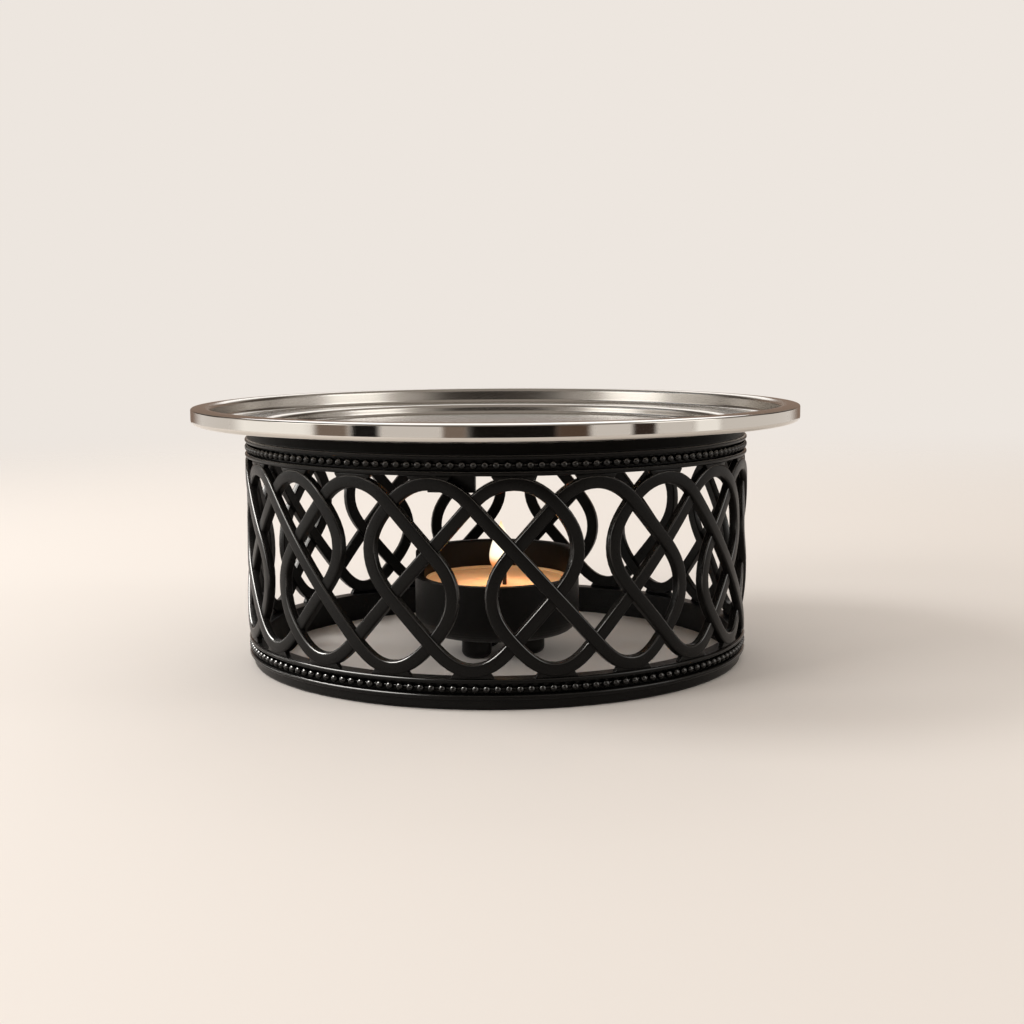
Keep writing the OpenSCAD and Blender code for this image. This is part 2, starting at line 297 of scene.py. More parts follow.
def black_coat(name, grain, bump, rough, shine, wear_and_highlight_shine, face=0.85):
    """Satin black coat baked on cast iron: near black, with the fine grain of the casting. On its upper
    edges and crests, between its outer faces and its sides, it is rubbed smoother and shinier, partly
    as wear and partly as a painted highlight; on the neck under the tray its shine is cut down as
    painted shade from the tray. A face ends where its outward share falls below the one given, and
    the rubbing starts a fifth of the way there."""
    material, tree = new_material(name)
    coords = add(tree, "ShaderNodeTexCoord")
    place = coords.outputs["Object"]
    specks = add(tree, "ShaderNodeTexNoise", {"Vector": place, "Scale": per_mm(grain), "Detail": 3})
    clouds = add(tree, "ShaderNodeTexNoise", {"Vector": place, "Scale": per_mm(9), "Detail": 2})
    tone = add(tree, "ShaderNodeMix", {
        "Factor": clouds.outputs["Fac"], "A": colour("#080706"), "B": colour("#100F0E")
    }, data_type="RGBA")
    gloss = add(tree, "ShaderNodeMapRange", {
        "Value": specks.outputs["Fac"], "From Min": 0.3, "From Max": 0.7,
        "To Min": rough - 0.07, "To Max": rough + 0.07
    })
    relief = add(tree, "ShaderNodeBump", {
        "Height": specks.outputs["Fac"], "Strength": bump, "Distance": 0.05 * MM
    })
    flat = add(tree, "ShaderNodeVectorMath", {0: place, 1: (1, 1, 0)}, operation="MULTIPLY")
    outwards = add(tree, "ShaderNodeVectorMath", {0: flat.outputs["Vector"]}, operation="NORMALIZE")
    facing = add(tree, "ShaderNodeVectorMath", {
        0: coords.outputs["Normal"], 1: outwards.outputs["Vector"]
    }, operation="DOT_PRODUCT")
    off_face = add(tree, "ShaderNodeMapRange", {
        "Value": facing.outputs["Value"], "From Min": 1 - (1 - face) / 5, "From Max": face
    })
    off_side = add(tree, "ShaderNodeMapRange", {
        "Value": facing.outputs["Value"], "From Min": 0.1, "From Max": 0.3
    })
    corner = add(tree, "ShaderNodeMath", {
        0: off_face.outputs["Result"], 1: off_side.outputs["Result"]
    }, operation="MULTIPLY")
    # Only upward-facing edges get the raised shine: a painted highlight on the side the key light falls
    # on.
    rise = add(tree, "ShaderNodeSeparateXYZ", {"Vector": coords.outputs["Normal"]}).outputs["Z"]
    upper = add(tree, "ShaderNodeMapRange", {"Value": rise, "From Min": -0.2, "From Max": 0.2})
    edge = add(tree, "ShaderNodeMath", {
        0: corner.outputs["Value"], 1: upper.outputs["Result"]
    }, operation="MULTIPLY")
    # Shine raised on the upper edges: part wear, part painted highlight.
    wear_and_painted_highlight = add(tree, "ShaderNodeMapRange", {
        "Value": edge.outputs["Value"], "To Min": shine, "To Max": wear_and_highlight_shine
    })
    worn = add(tree, "ShaderNodeMix", {
        "Factor": edge.outputs["Value"], "A": gloss.outputs["Result"], "B": rough / 2
    })
    # Painted shade: above the neck's shoulder the shine falls to a fifth, standing in for the shadow of
    # the tray's overhang.
    height = add(tree, "ShaderNodeSeparateXYZ", {"Vector": place}).outputs["Z"]
    painted_tray_shade = add(tree, "ShaderNodeMapRange", {
        "Value": height, "From Min": seat_z - neck_h, "From Max": seat_z - neck_h + edge_round,
        "To Min": 1, "To Max": 0.2
    })
    sheen = add(tree, "ShaderNodeMath", {
        0: wear_and_painted_highlight.outputs["Result"], 1: painted_tray_shade.outputs["Result"]
    }, operation="MULTIPLY")
    shader = add(tree, "ShaderNodeBsdfPrincipled", {
        "Base Color": tone.outputs["Result"], "Roughness": worn.outputs["Result"],
        "Normal": relief.outputs["Normal"], "Specular IOR Level": sheen.outputs["Value"]
    })
    add(tree, "ShaderNodeOutputMaterial", {"Surface": shader.outputs["BSDF"]})
    return material


def spun_stainless():
    """Pressed and spun stainless steel: a mirror polish outside on the rim, and a satin inside with
    fine rings of the spinning tool."""
    material, tree = new_material("spun_stainless_steel")
    place = add(tree, "ShaderNodeTexCoord").outputs["Object"]
    axis = add(tree, "ShaderNodeSeparateXYZ", {"Vector": place})
    flat = add(tree, "ShaderNodeCombineXYZ", {"X": axis.outputs["X"], "Y": axis.outputs["Y"]})
    radius = add(tree, "ShaderNodeVectorMath", {"Vector": flat.outputs["Vector"]}, operation="LENGTH")
    across = add(tree, "ShaderNodeCombineXYZ", {"X": radius.outputs["Value"], "Y": axis.outputs["Z"]})
    rings = add(tree, "ShaderNodeTexNoise", {
        "Vector": across.outputs["Vector"], "Scale": per_mm(0.4), "Detail": 2
    })
    wander = add(tree, "ShaderNodeTexNoise", {"Vector": place, "Scale": per_mm(30), "Detail": 1})
    on_rim = add(tree, "ShaderNodeMapRange", {
        "Value": radius.outputs["Value"], "From Min": tray_r - rim_w, "From Max": tray_r - rim_w / 2,
        "To Min": 0.2, "To Max": 0.03
    })
    rough = add(tree, "ShaderNodeMath", {
        0: rings.outputs["Fac"], 1: 0.04, 2: on_rim.outputs["Result"]
    }, operation="MULTIPLY_ADD")
    ring_relief = add(tree, "ShaderNodeBump", {
        "Height": rings.outputs["Fac"], "Strength": 0.005, "Distance": 0.02 * MM
    })
    relief = add(tree, "ShaderNodeBump", {
        "Height": wander.outputs["Fac"], "Strength": 0.012, "Distance": 0.2 * MM,
        "Normal": ring_relief.outputs["Normal"]
    })
    shader = add(tree, "ShaderNodeBsdfPrincipled", {
        "Base Color": colour("#CFCBC5"), "Metallic": 1, "Roughness": rough.outputs["Value"],
        "Normal": relief.outputs["Normal"]
    })
    add(tree, "ShaderNodeOutputMaterial", {"Surface": shader.outputs["BSDF"]})
    return material


def paraffin_wax():
    """Poured paraffin wax, molten near the flame: warm cream, smooth and a little glossy, with a faint
    painted glow that stands in for the flame's light soaking through it."""
    material, tree = new_material("paraffin_wax")
    place = add(tree, "ShaderNodeTexCoord").outputs["Object"]
    clouds = add(tree, "ShaderNodeTexNoise", {"Vector": place, "Scale": per_mm(4), "Detail": 3})
    tone = add(tree, "ShaderNodeMix", {
        "Factor": clouds.outputs["Fac"], "A": colour("#EFC798"), "B": colour("#F6D5B1")
    }, data_type="RGBA")
    relief = add(tree, "ShaderNodeBump", {
        "Height": clouds.outputs["Fac"], "Strength": 0.15, "Distance": 0.2 * MM
    })
    # The emission colour and strength are a painted glow for the flame's light in the wax, not a lamp.
    shader = add(tree, "ShaderNodeBsdfPrincipled", {
        "Base Color": tone.outputs["Result"], "Roughness": 0.35, "IOR": 1.43,
        "Subsurface Weight": 0.5, "Subsurface Radius": (4 * MM, 2.2 * MM, 1.2 * MM),
        "Subsurface Scale": 1, "Emission Color": colour("#F0A468"), "Emission Strength": 0.17,
        "Normal": relief.outputs["Normal"]
    })
    add(tree, "ShaderNodeOutputMaterial", {"Surface": shader.outputs["BSDF"]})
    return material


def charred_cotton():
    """Braided cotton wick: charred black at its tip, brown where it leaves the wax."""
    material, tree = new_material("charred_cotton")
    place = add(tree, "ShaderNodeTexCoord").outputs["Object"]
    height = add(tree, "ShaderNodeSeparateXYZ", {"Vector": place}).outputs["Z"]
    braid = add(tree, "ShaderNodeTexWave", {"Vector": place, "Scale": per_mm(6), "Distortion": 3},
                bands_direction="DIAGONAL")
    charred = add(tree, "ShaderNodeMapRange", {
        "Value": height, "From Min": wax_top, "From Max": wax_top + wick_stem
    })
    tone = add(tree, "ShaderNodeMix", {
        "Factor": charred.outputs["Result"], "A": colour("#2E1D12"), "B": colour("#0D0A08")
    }, data_type="RGBA")
    relief = add(tree, "ShaderNodeBump", {
        "Height": braid.outputs["Fac"], "Strength": 0.5, "Distance": 0.1 * MM
    })
    shader = add(tree, "ShaderNodeBsdfPrincipled", {
        "Base Color": tone.outputs["Result"], "Roughness": 0.9, "Normal": relief.outputs["Normal"]
    })
    add(tree, "ShaderNodeOutputMaterial", {"Surface": shader.outputs["BSDF"]})
    return material


def tinplate():
    """Stamped tinplate of the wick holder: bright, with a faint rolling grain."""
    material, tree = new_material("tinplate")
    place = add(tree, "ShaderNodeTexCoord").outputs["Object"]
    stretch = add(tree, "ShaderNodeMapping", {"Vector": place, "Scale": (0.05, 1, 1)})
    grain = add(tree, "ShaderNodeTexNoise", {"Vector": stretch.outputs["Vector"], "Scale": per_mm(0.2)})
    rough = add(tree, "ShaderNodeMapRange", {
        "Value": grain.outputs["Fac"], "To Min": 0.2, "To Max": 0.4
    })
    shader = add(tree, "ShaderNodeBsdfPrincipled", {
        "Base Color": colour("#C8C8C6"), "Metallic": 1, "Roughness": rough.outputs["Result"]
    })
    add(tree, "ShaderNodeOutputMaterial", {"Surface": shader.outputs["BSDF"]})
    return material


def candle_flame():
    """Burning wax vapour: dull orange round the wick, then a white body that ends in an orange tip,
    and thins out to nothing at its edges."""
    material, tree = new_material("candle_flame")
    place = add(tree, "ShaderNodeTexCoord").outputs["Object"]
    height = add(tree, "ShaderNodeSeparateXYZ", {"Vector": place}).outputs["Z"]
    rise = add(tree, "ShaderNodeMapRange", {
        "Value": height, "From Min": flame_foot, "From Max": flame_foot + flame_h
    })
    heat = add(tree, "ShaderNodeValToRGB", {"Fac": rise.outputs["Result"]})
    ramp = heat.color_ramp.elements
    ramp[0].position, ramp[0].color = 0.0, colour("#B4582A")
    ramp[1].position, ramp[1].color = 1.0, colour("#FFB873")
    ramp.new(0.2).color = colour("#D98A50")
    ramp.new(0.34).color = colour("#FFEBC8")
    ramp.new(0.75).color = colour("#FFF6E4")
    glow = add(tree, "ShaderNodeEmission", {"Color": heat.outputs["Color"], "Strength": 1.6})
    air = add(tree, "ShaderNodeBsdfTransparent")
    edge = add(tree, "ShaderNodeLayerWeight", {"Blend": 0.3})
    shader = add(tree, "ShaderNodeMixShader", {
        "Fac": edge.outputs["Facing"], 1: glow.outputs["Emission"], 2: air.outputs["BSDF"]
    })
    add(tree, "ShaderNodeOutputMaterial", {"Surface": shader.outputs["Shader"]})
    return material


# The coat of the fretwork, and how it came out on the rings, the beads and the cup
coat = black_coat("black_cast_iron", grain=0.3, bump=0.12, rough=0.32, shine=0.11, wear_and_highlight_shine=1)
ring_coat = black_coat("black_ring_iron", grain=0.3, bump=0.12, rough=0.32, shine=0.11, wear_and_highlight_shine=0.45)
bead_coat = black_coat(
    "black_bead_iron", grain=0.4, bump=0.05, rough=0.18, shine=0.15, wear_and_highlight_shine=1, face=0.97
)
cup_coat = black_coat("black_cup_iron", grain=0.4, bump=0.12, rough=0.42, shine=0.2, wear_and_highlight_shine=0.4)


# Pieces of the stand

def ridge_crest(z):
    """Half round of a ridge."""
    return arc((stand_r - ridge_h / 2, z + ridge_h / 2), ridge_h / 2, -90, 90, 10)


def beaded_band(z):
    """Outline of the two ridges and the bead groove between them."""
    groove_r = stand_r - groove_depth
    return (
        ridge_crest(z)
        + [(groove_r, z + ridge_h), (groove_r, z + ridge_h + groove_h)]
        + ridge_crest(z + ridge_h + groove_h)
    )


def lower_ring():
    """The base ring: a plain foot under the beaded band."""
    bore_r = stand_r - ring_wall
    foot_r = stand_r - foot_inset
    outline = (
        [(bore_r, 0)]
        + arc((foot_r - foot_draw, foot_draw), foot_draw, -90, 0)
        + [(foot_r, foot_h)]
        + beaded_band(foot_h)
        + arc((bore_r + edge_round, base_top - edge_round), edge_round, 90, 180, 3)
        + [(bore_r, 0)]
    )
    ring = turned("lower_ring", held(outline))
    smooth(ring)
    return fitted(ring, ring_coat, "stand", "black_iron", "base_ring")


def upper_ring():
    """The top ring: a beaded band under the plain neck that seats the tray."""
    bore_r = stand_r - ring_wall
    neck_r = stand_r - neck_inset
    neck_bore_r = neck_r - neck_wall
    shoulder_z = seat_z - neck_h
    outline = (
        arc((bore_r + edge_round, top_ring_foot + edge_round), edge_round, 180, 270, 3)
        + beaded_band(top_ring_foot)
        + [(neck_r, shoulder_z)]
        + arc((neck_r - edge_round, seat_z - edge_round), edge_round, 0, 90, 3)
        + [(neck_bore_r + seat_chamfer, seat_z), (neck_bore_r, seat_z - seat_chamfer)]
        + [(neck_bore_r, shoulder_z), (bore_r, shoulder_z), (bore_r, top_ring_foot + edge_round)]
    )
    ring = turned("upper_ring", held(outline))
    smooth(ring)
    return fitted(ring, ring_coat, "stand", "black_iron", "top_ring")


def beading(name, z, node):
    """Row of beads on their wire: one bead, copied round the stand, and a thin ring in the groove."""
    groove_r = stand_r - groove_depth
    row_r = groove_r + bead_seat_gap + bead_d / 2
    deselect()
    bpy.ops.mesh.primitive_uv_sphere_add(
        segments=12, ring_count=8, radius=bead_d / 2, location=(0, -row_r, z)
    )
    row = bpy.context.object
    row.name = name
    bpy.ops.object.transform_apply()
    bpy.ops.object.mode_set(mode="EDIT")
    bpy.ops.mesh.select_all(action="SELECT")
    bpy.ops.mesh.spin(
        steps=bead_count, dupli=True, angle=math.tau, use_auto_merge=False,
        center=(0, 0, 0), axis=(0, 0, 1)
    )
    tidy_mesh()
    bpy.ops.object.mode_set(mode="OBJECT")
    deselect()
    bpy.ops.mesh.primitive_torus_add(
        major_radius=groove_r + bead_wire_d / 2, minor_radius=bead_wire_d / 2, location=(0, 0, z),
        major_segments=2 * bead_count, minor_segments=8
    )
    wire = bpy.context.object
    bpy.ops.object.transform_apply()
    join(row, wire)
    smooth(row, 60)
    return fitted(row, bead_coat, "stand", "black_iron", node)


# Fretwork: one endless strand, drawn flat as a curve, with its ties, and then rolled up into a ring

fret_r = stand_r - fret_inset
arch_count = knot_repeats * arches_per_knot
arch_w = math.tau * fret_r / arch_count
turn_share = turn_back / arch_w
lower_arch_z = base_top + arch_gap + strand_w / 2
upper_arch_z = top_ring_foot - arch_gap - strand_w / 2
first_row_z = lower_arch_z + lower_rise
last_row_z = upper_arch_z - upper_rise
row_step = (last_row_z - first_row_z) / 3
row_z = [
    lower_arch_z, first_row_z, first_row_z + row_step, last_row_z - row_step, last_row_z, upper_arch_z
]

# Way of the strand through one knot, in runs from one turn-back to the next. Each stop is a count of
# arches along the ring and a row.
knot_runs = [
    [
        (turn_share, 3), (0.5, 4), (1, 5), (1.5, 4), (2, 3),
        (2.5, 2), (3, 1), (3.5, 0), (4, 1), (4.5 - turn_share, 2)
    ],
    [
        (4.5 - turn_share, 2), (4, 3), (3.5, 4), (3, 5), (2.5, 4),
        (2, 3), (1.5 + turn_share, 2)
    ],
    [
        (1.5 + turn_share, 2), (2, 1), (2.5, 0), (3, 1), (3.5, 2),
        (4, 3), (4.5, 4), (5, 5), (5.5, 4), (6 - turn_share, 3)
    ],
    [
        (6 - turn_share, 3), (5.5, 2), (5, 1), (4.5, 0), (4, 1),
        (3.5, 2), (3 + turn_share, 3)
    ]
]


def stop_heading(run, i):
    """Heading at a stop: along at an arch, upright at a turn-back, or across the grid."""
    last = len(run) - 1
    before, after = run[max(i - 1, 0)], run[min(i + 1, last)]
    along = 0 if i in (0, last) else sign(after[0] - before[0])
    return math.atan2(sign(after[1] - before[1]) * row_step, along * arch_w / 2)


def strand_points():
    """Places, with headings, of the strand all round the stand, drawn flat: along, up and out."""
    points = []
    for knot in range(knot_repeats):
        for run in knot_runs:
            for i, (along, row) in enumerate(run[:-1]):
                heading = stop_heading(run, i)
                lift = -weave_relief * math.sin(2 * heading)
                place = Vector(((along + knot * arches_per_knot) * arch_w, row_z[row], lift))
                points.append((place, heading))
    place, heading = points[0]
    points.append((place + Vector((arch_count * arch_w, 0, 0)), heading))
    return points


def strand_section():
    """Cross section of the strand: a plane, narrowed at its face, with its two front edges rounded."""
    deselect()
    bpy.ops.mesh.primitive_plane_add(size=1, location=(0, -strand_t / 2, 0))
    section = bpy.context.object
    section.scale = (strand_w, strand_t, 1)
    bpy.ops.object.transform_apply()
    bpy.ops.object.mode_set(mode="EDIT")
    select_vertices(section, lambda p: p.y > -strand_t / 2)
    bpy.ops.transform.resize(value=(1 - 2 * strand_draft / strand_w, 1, 1), center_override=(0, 0, 0))
    bpy.ops.mesh.bevel(offset=strand_round, segments=4, affect="VERTICES")
    select_vertices(section, lambda p: p.y < -0.9 * strand_t)
    bpy.ops.mesh.bevel(offset=edge_round, segments=1, affect="VERTICES")
    bpy.ops.mesh.select_all(action="SELECT")
    bpy.ops.mesh.delete(type="ONLY_FACE")
    bpy.ops.object.mode_set(mode="OBJECT")
    bpy.ops.object.convert(target="CURVE")
    return bpy.context.object


def flat_strand():
    """The strand along its whole way, drawn flat in XY with its face up."""
    section = strand_section()
    points = strand_points()
    deselect()
    bpy.ops.curve.primitive_bezier_curve_add()
    strand = bpy.context.object
    curve = strand.data
    curve.twist_mode = "Z_UP"
    curve.bevel_mode = "OBJECT"
    curve.bevel_object = section
    curve.resolution_u = 7
    stops = curve.splines[0].bezier_points
    stops.add(len(points) - len(stops))
    for stop, (place, _) in zip(stops, points):
        stop.handle_left_type = stop.handle_right_type = "FREE"
        stop.co = place
    for (place, heading), (next_place, next_heading), stop, next_stop in zip(
        points, points[1:], stops, stops[1:]
    ):
        reach = leg_fullness * (next_place - place).length / 3
        stop.handle_right = place + reach * Vector((math.cos(heading), math.sin(heading), 0))
        next_stop.handle_left = next_place - reach * Vector(
            (math.cos(next_heading), math.sin(next_heading), 0)
        )
    first, last = stops[0], stops[-1]
    first.handle_left = 2 * first.co - first.handle_right
    last.handle_right = 2 * last.co - last.handle_left
    bpy.ops.object.convert(target="MESH")
    bpy.data.objects.remove(section)
    return bpy.context.object


def flat_ties(ring_z, arch_z, start):
    """A row of ties between the arches and a ring, drawn flat: one pad, wider at the ring."""
    deselect()
    bpy.ops.mesh.primitive_cube_add(size=1, location=(0, (ring_z + arch_z) / 2, -tie_sink - tie_t / 2))
    pad = bpy.context.object
    pad.scale = (tie_w, abs(ring_z - arch_z), tie_t)
    bpy.ops.object.transform_apply()
    bpy.ops.object.mode_set(mode="EDIT")
    select_vertices(pad, lambda p: abs(p.y - ring_z) < abs(p.y - arch_z))
    bpy.ops.transform.resize(value=(1 + 2 * tie_slope / tie_w, 1, 1), center_override=(0, 0, 0))
    bpy.ops.mesh.select_all(action="SELECT")
    bpy.ops.mesh.subdivide(number_cuts=3)
    bpy.ops.object.mode_set(mode="OBJECT")
    apply_modifier(pad, "BEVEL", width=edge_round, segments=2, limit_method="ANGLE")
    pad.location.x = start
    bpy.ops.object.transform_apply()
    apply_modifier(
        pad, "ARRAY", count=arch_count, use_relative_offset=False, use_constant_offset=True,
        constant_offset_displace=(arch_w, 0, 0)
    )
    return pad


def woven_fretwork():
    """The fretwork: the strand and both rows of ties, stood up and rolled round the stand."""
    band = join(
        flat_strand(),
        flat_ties(top_ring_foot, top_ring_foot - tie_h, arch_w),
        flat_ties(base_top, base_top + tie_h, 1.5 * arch_w)
    )
    band.name = "woven_fretwork"
    band.location.x = knot_turn * fret_r
    bpy.ops.object.transform_apply()
    band.rotation_euler.x = math.pi / 2
    bpy.ops.object.transform_apply()
    flat_length = band.dimensions.x
    apply_modifier(
        band, "SIMPLE_DEFORM", deform_method="BEND", deform_axis="Z", angle=flat_length / fret_r
    )
    band.location.y = -fret_r
    bpy.ops.object.transform_apply()
    bpy.ops.object.mode_set(mode="EDIT")
    tidy_mesh()
    bpy.ops.object.mode_set(mode="OBJECT")
    smooth(band)
    return fitted(band, coat, "stand", "black_iron", "fretwork")


# Tray

def tray_bends():
    """Bends of the sheet's middle line: centre, radius, first and last angle."""
    ledge_z = seat_z + sheet / 2
    rim_z = rim_top - sheet / 2
    floor_z = tray_foot + sheet / 2
    well_r = stand_r - neck_inset - neck_wall - well_gap - sheet / 2
    rim_wall_r = tray_r - rim_w + sheet / 2
    skirt_r = tray_r - sheet / 2
    hem_z = rim_top + sheet / 2 - rim_band_h
    crest_r = rim_wall_r + small_bend
    crest_z = rim_z + rim_crown
    crown_w = skirt_r - crest_r
    crown_r = (crown_w ** 2 + crown_fall ** 2) / (2 * crown_fall)
    crown_turn = math.degrees(math.asin(crown_w / crown_r))
    return [
        *drawn_wall(well_r, floor_z, ledge_z),
        *drawn_wall(rim_wall_r, ledge_z, crest_z),
        ((crest_r, crest_z - crown_r), crown_r, 90, 90 - crown_turn),
        ((skirt_r - tight_bend, crest_z - crown_fall - tight_bend), tight_bend, 90 - crown_turn, 0),
        ((skirt_r - hem_bend, hem_z + hem_bend), hem_bend, 0, -90)
    ]


def drawn_wall(r, foot_z, top_z):
    """The two bends of a wall that is drawn out of the sheet, with its draft."""
    a = math.radians(wall_draft)
    bends = wide_bend + small_bend
    straight = top_z - foot_z - bends
    inset = (bends + straight * math.sin(a)) / math.cos(a)
    return [
        ((r + small_bend - inset, foot_z + wide_bend), wide_bend, -90, -wall_draft),
        ((r + small_bend, top_z - small_bend), small_bend, 180 - wall_draft, 90)
    ]


def tray_side(side):
    """One side of the tray's sheet: 1 is the upper side, -1 the lower one."""
    points = []
    for centre, r, start, end in tray_bends():
        points += arc(centre, max(r - side * sign(end - start) * sheet / 2, 0), start, end)
    return points


def pressed_tray():
    """The tray: both sides of its sheet and the hem at its edge, turned as one."""
    upper, lower = tray_side(1), tray_side(-1)
    bend_r, bend_z = tray_bends()[-1][0]
    hem = arc((bend_r - hem_w, bend_z - hem_bend), sheet / 2, 90, 270)
    outline = lower + hem + upper[::-1]
    tray = turned("pressed_tray", held(outline), sides=256, solid=True)
    smooth(tray)
    return fitted(tray, spun_stainless(), "serving_tray", "stainless_steel", "tray")


# Tealight

def poured_wax():
    """The wax, with a shallow molten pool that climbs a little at the cup's wall."""
    pool_r = wax_r - brim_w
    pool_z = wax_top - pool_depth
    middle_z = pool_z - pool_hollow
    outline = (
        [(wax_r, wax_foot), (wax_r, wax_top - brim_round)]
        + arc((wax_r - brim_round, wax_top - brim_round), brim_round, 0, 90, 3)
        + arc((pool_r, pool_z + meniscus_r), meniscus_r, -50, -90, 6)
        + [(pool_r / 2, middle_z), (wick_d, middle_z)]
    )
    wax = turned("poured_wax", outline, sides=96, solid=True)
    smooth(wax)
    return fitted(wax, paraffin_wax(), "tealight", "wax", "wax")


wick_axis = wick_reach * Vector((math.sin(wick_place), -math.cos(wick_place), 0))
wick_lean = Vector((math.sin(wick_turn), -math.cos(wick_turn), 0))
flame_axis = wick_axis + wick_bend_r * (1 - math.cos(wick_bend)) * wick_lean


def bent_wick():
    """The wick: a stem that leans over at its tip."""
    steps = 4
    up = Vector((0, 0, 1))
    stem_top = wick_axis + up * (wax_top + wick_stem)
    points = [wick_axis + up * (wax_foot + wick_foot_gap), wick_axis + up * wax_top, stem_top]
    for i in range(1, steps + 1):
        a = wick_bend * i / steps
        points.append(stem_top + wick_bend_r * (up * math.sin(a) + wick_lean * (1 - math.cos(a))))
    deselect()
    bpy.ops.curve.primitive_nurbs_path_add()
    wick = bpy.context.object
    wick.name = "braided_wick"
    curve = wick.data
    curve.splines.clear()
    spline = curve.splines.new("POLY")
    spline.points.add(len(points) - 1)
    for stop, place in zip(spline.points, points):
        stop.co = (*place, 1)
    curve.bevel_depth = wick_d / 2
    curve.bevel_resolution = 3
    curve.use_fill_caps = True
    bpy.ops.object.convert(target="MESH")
    smooth(wick, 50)
    return fitted(wick, charred_cotton(), "tealight", "wick", "wick")


def burning_flame():
    """The flame over the wick's tip: a drop that is fullest low down and drawn out to a point."""
    steps = 20
    tip_r = 0.05 * MM
    low_belly = 0.6
    outline = []
    for i in range(steps + 1):
        share = i / steps
        swell = math.sin(math.pi * share ** low_belly)
        outline.append((max(flame_d / 2 * swell, tip_r), flame_foot + flame_h * share))
    flame = turned("flame", outline, sides=32, solid=True)
    flame.location = flame_axis
    bpy.ops.object.transform_apply()
    smooth(flame, 80)
    return fitted(flame, candle_flame(), "tealight", None)


# Stage

def aim(lamp, place):
    """Turns a lamp towards the middle of the stand."""
    way = Vector((0, 0, aim_h)) - Vector(place)
    lamp.rotation_euler = way.to_track_quat("-Z", "Y").to_euler()


def room(pale):
    """The room round the stand: pale to the camera and in reflections, and dimmer as a light."""
    scene = bpy.context.scene
    scene.view_settings.view_transform = "Standard"
    scene.world = bpy.data.worlds.new("studio")
    scene.world.use_nodes = True
    tree = scene.world.node_tree
    tree.nodes.clear()
    ray = add(tree, "ShaderNodeLightPath")
    seen = add(tree, "ShaderNodeMath", {
        0: ray.outputs["Is Camera Ray"], 1: ray.outputs["Is Glossy Ray"]
    }, operation="MAXIMUM")
    strength = add(tree, "ShaderNodeMapRange", {
        "Value": seen.outputs["Value"], "To Min": room_light, "To Max": 1
    })
    sky = add(tree, "ShaderNodeBackground", {"Color": pale, "Strength": strength.outputs["Result"]})
    add(tree, "ShaderNodeOutputWorld", {"Surface": sky.outputs["Background"]})


def floor(pale):
    """A sheet of pale paper that fades out into the room."""
    deselect()
    bpy.ops.mesh.primitive_circle_add(vertices=64, radius=floor_r, fill_type="NGON")
    sheet_of_paper = bpy.context.object
    sheet_of_paper.name = "floor"
    material, tree = new_material("pale_paper")
    place = add(tree, "ShaderNodeTexCoord").outputs["Object"]
    far = add(tree, "ShaderNodeVectorMath", {"Vector": place}, operation="LENGTH")
    fade = add(tree, "ShaderNodeMapRange", {
        "Value": far.outputs["Value"], "From Min": floor_fade[0], "From Max": floor_fade[1]
    }, interpolation_type="SMOOTHSTEP")
    paper = add(tree, "ShaderNodeBsdfDiffuse", {"Color": pale})
    gone = add(tree, "ShaderNodeBsdfTransparent")
    shader = add(tree, "ShaderNodeMixShader", {
        "Fac": fade.outputs["Result"], 1: paper.outputs["BSDF"], 2: gone.outputs["BSDF"]
    })
    add(tree, "ShaderNodeOutputMaterial", {"Surface": shader.outputs["Shader"]})
    sheet_of_paper.data.materials.append(material)


def mirrored(thing, name):
    """Makes a thing of the studio show in reflections alone, and gives it an empty material."""
    thing.name = name
    thing.visible_camera = thing.visible_diffuse = thing.visible_shadow = False
    material, tree = new_material(name)
    thing.data.materials.append(material)
    return tree


def glow_out(tree, tone, strength, fade):
    """A glowing tone that fades out to nothing."""
    face = add(tree, "ShaderNodeEmission", {"Color": tone, "Strength": strength})
    gone = add(tree, "ShaderNodeBsdfTransparent")
    shader = add(tree, "ShaderNodeMixShader", {
        "Fac": fade.outputs["Result"], 1: face.outputs["Emission"], 2: gone.outputs["BSDF"]
    })
    add(tree, "ShaderNodeOutputMaterial", {"Surface": shader.outputs["Shader"]})


def card(name, turn, width, low, high, tone, strength, tilt=0):
    """A card round the warmer, from one height to another, turned and tilted to it. It fades out
    towards both sides."""
    a = math.radians(turn)
    deselect()
    bpy.ops.mesh.primitive_plane_add(
        size=1, location=(card_r * math.sin(a), -card_r * math.cos(a), (low + high) / 2),
        rotation=(math.pi / 2 - math.radians(tilt), 0, a)
    )
    board = bpy.context.object
    board.scale = (width, high - low, 1)
    tree = mirrored(board, name)
    place = add(tree, "ShaderNodeTexCoord").outputs["Object"]
    across = add(tree, "ShaderNodeSeparateXYZ", {"Vector": place})
    off_centre = add(tree, "ShaderNodeMath", {0: across.outputs["X"]}, operation="ABSOLUTE")
    fade = add(tree, "ShaderNodeMapRange", {
        "Value": off_centre.outputs["Value"], "From Min": card_fade[0], "From Max": card_fade[1]
    }, interpolation_type="SMOOTHSTEP")
    glow_out(tree, colour(tone), strength, fade)
    return board


def dome():
    """The ceiling of the studio, dark behind the camera, down to a pale stretch above the floor."""
    deselect()
    bpy.ops.mesh.primitive_uv_sphere_add(segments=32, ring_count=16, radius=dome_r)
    tree = mirrored(bpy.context.object, "dome")
    coords = add(tree, "ShaderNodeTexCoord")
    place = add(tree, "ShaderNodeSeparateXYZ", {"Vector": coords.outputs["Object"]})
    back = add(tree, "ShaderNodeMapRange", {
        "Value": place.outputs["Y"], "From Min": dome_shade[0], "From Max": dome_shade[1]
    })
    tone = add(tree, "ShaderNodeMix", {
        "Factor": back.outputs["Result"], "A": colour("#241F1B"), "B": colour("#9C948C")
    }, data_type="RGBA")
    fade = add(tree, "ShaderNodeMapRange", {
        "Value": place.outputs["Z"], "From Min": dome_fade[1], "From Max": dome_fade[0],
        "To Min": 1, "To Max": 0
    }, interpolation_type="SMOOTHSTEP")
    glow_out(tree, tone.outputs["Result"], 1, fade)


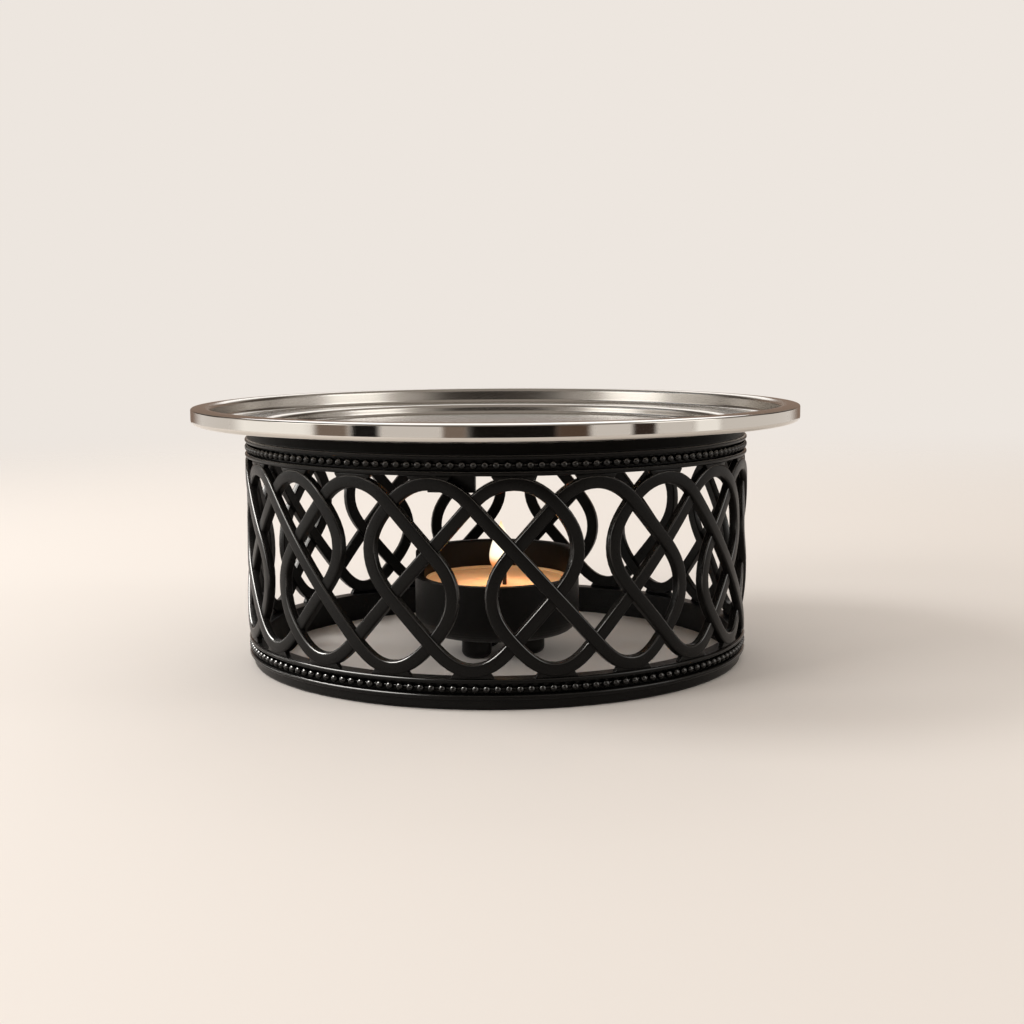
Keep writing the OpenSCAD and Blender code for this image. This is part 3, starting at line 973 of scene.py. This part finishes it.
def cards():
    """Low cards that the polished rim shows, and taller boards that the satin inside shows."""
    for name, turn, width, low, high, tone, strength in [
        ("left_sheet", -83, 0.56, 0, card_h, white_card, 1.3),
        ("left_card", -56.5, 0.19, 0, card_h, taupe_card, 1),
        ("left_flag", -44, 0.145, 0, card_h, "#1E1C1A", 1),
        ("near_card", -13.5, 0.11, 0, card_h, taupe_card, 1),
        ("front_flag", 6, 0.52, 0, card_h, black_card, 1),
        ("brown_card", 25.5, 0.16, 0, card_h, "#5E4C40", 1),
        ("right_flag", 50.5, 0.125, 0, card_h, "#3E322C", 1),
        ("right_sheet", 77, 0.16, 0, card_h, white_card, 1.25),
        ("back_board", 180, 1.35, 0, 0.24, "#8A7668", 1),
        ("front_board", 0, 0.9, card_h, 0.28, black_card, 1),
        ("left_board", -68, 0.45, card_h, board_h, white_card, 2.1),
        ("left_wing", -99, 0.56, card_h, board_h, "#D2CAC1", 1),
        ("right_board", 68, 0.45, card_h, board_h, white_card, 1.8),
        ("left_shade", -132, 0.46, card_h, board_h, shade_card, 1),
        ("right_shade", 128, 0.46, card_h, board_h, shade_card, 1),
    ]:
        card(name, turn, width, low, high, tone, strength)


def soft_box(*pieces):
    """A bright sheet on the key lamp's side, flagged off from all but these pieces, for their edges."""
    sheet_of_light = card(
        "soft_box", turn=-92, width=1.19, low=0.02, high=0.8, tone=white_card, strength=17, tilt=38
    )
    lit = bpy.data.collections.new("lit_by_soft_box")
    for piece in pieces:
        lit.objects.link(piece)
    sheet_of_light.light_linking.receiver_collection = lit


def lamps():
    """A key lamp from the left, soft ones from the back and the right, a low one at the front left that
    lights the floor inside the stand through the fretwork, and the flame's glow."""
    for name, place, size, power, glossy in [
        ("key", (-0.7, 0.05, 0.65), 0.35, 3, True),
        ("back", (0, 0.75, 0.5), 0.6, 1.4, True),
        ("fill", (0.85, -0.2, 0.5), 0.3, 1, True),
        ("low", (-0.75, -0.45, 0.33), 0.4, 3.5, False),
    ]:
        deselect()
        bpy.ops.object.light_add(type="AREA", location=place)
        lamp = bpy.context.object
        lamp.name = name + "_lamp"
        lamp.data.size = size
        lamp.data.energy = power
        lamp.visible_camera = False
        lamp.visible_glossy = glossy
        aim(lamp, place)
    flame_middle = flame_axis + Vector((0, 0, flame_foot + flame_h / 2))
    deselect()
    bpy.ops.object.light_add(type="POINT", location=flame_middle)
    lamp = bpy.context.object
    lamp.name = "flame_glow"
    lamp.data.energy = 0.058
    lamp.data.color = colour("#FFD2A8")[:3]
    lamp.data.shadow_soft_size = flame_d / 3
    lamp.visible_glossy = False


def studio():
    pale = colour("#EDE6DF")
    room(pale)
    floor(pale)
    dome()
    cards()
    lamps()


def photo_camera():
    """The camera where the photograph was taken from, in front of the stand and a little above the
    tray."""
    level = math.cos(camera_pitch)
    look = Vector((math.sin(camera_yaw) * level, math.cos(camera_yaw) * level, -math.sin(camera_pitch)))
    deselect()
    bpy.ops.object.camera_add(location=(0, -camera_back, camera_h))
    camera = bpy.context.object
    camera.rotation_mode = "QUATERNION"
    camera.rotation_quaternion = look.to_track_quat("-Z", "Y") @ Quaternion((0, 0, 1), camera_roll)
    camera.data.sensor_width = 36
    camera.data.lens = 56.36
    camera.data.clip_start = 0.01
    bpy.context.scene.camera = camera


def paint(node, material):
    """Gives a CAD node its finish."""
    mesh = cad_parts[node].data
    mesh.materials.clear()
    mesh.materials.append(material)


photo_camera()
studio()
soft_box(
    lower_ring(),
    upper_ring(),
    beading("lower_beading", foot_h + ridge_h + groove_h / 2, "base_bead_wire"),
    beading("upper_beading", top_ring_foot + ridge_h + groove_h / 2, "top_bead_wire"),
    woven_fretwork()
)
pressed_tray()
poured_wax()
bent_wick()
burning_flame()
paint("tray_lugs", coat)
paint("candle_cup", cup_coat)
paint("cup_feet", cup_coat)
paint("wick_holder", tinplate())
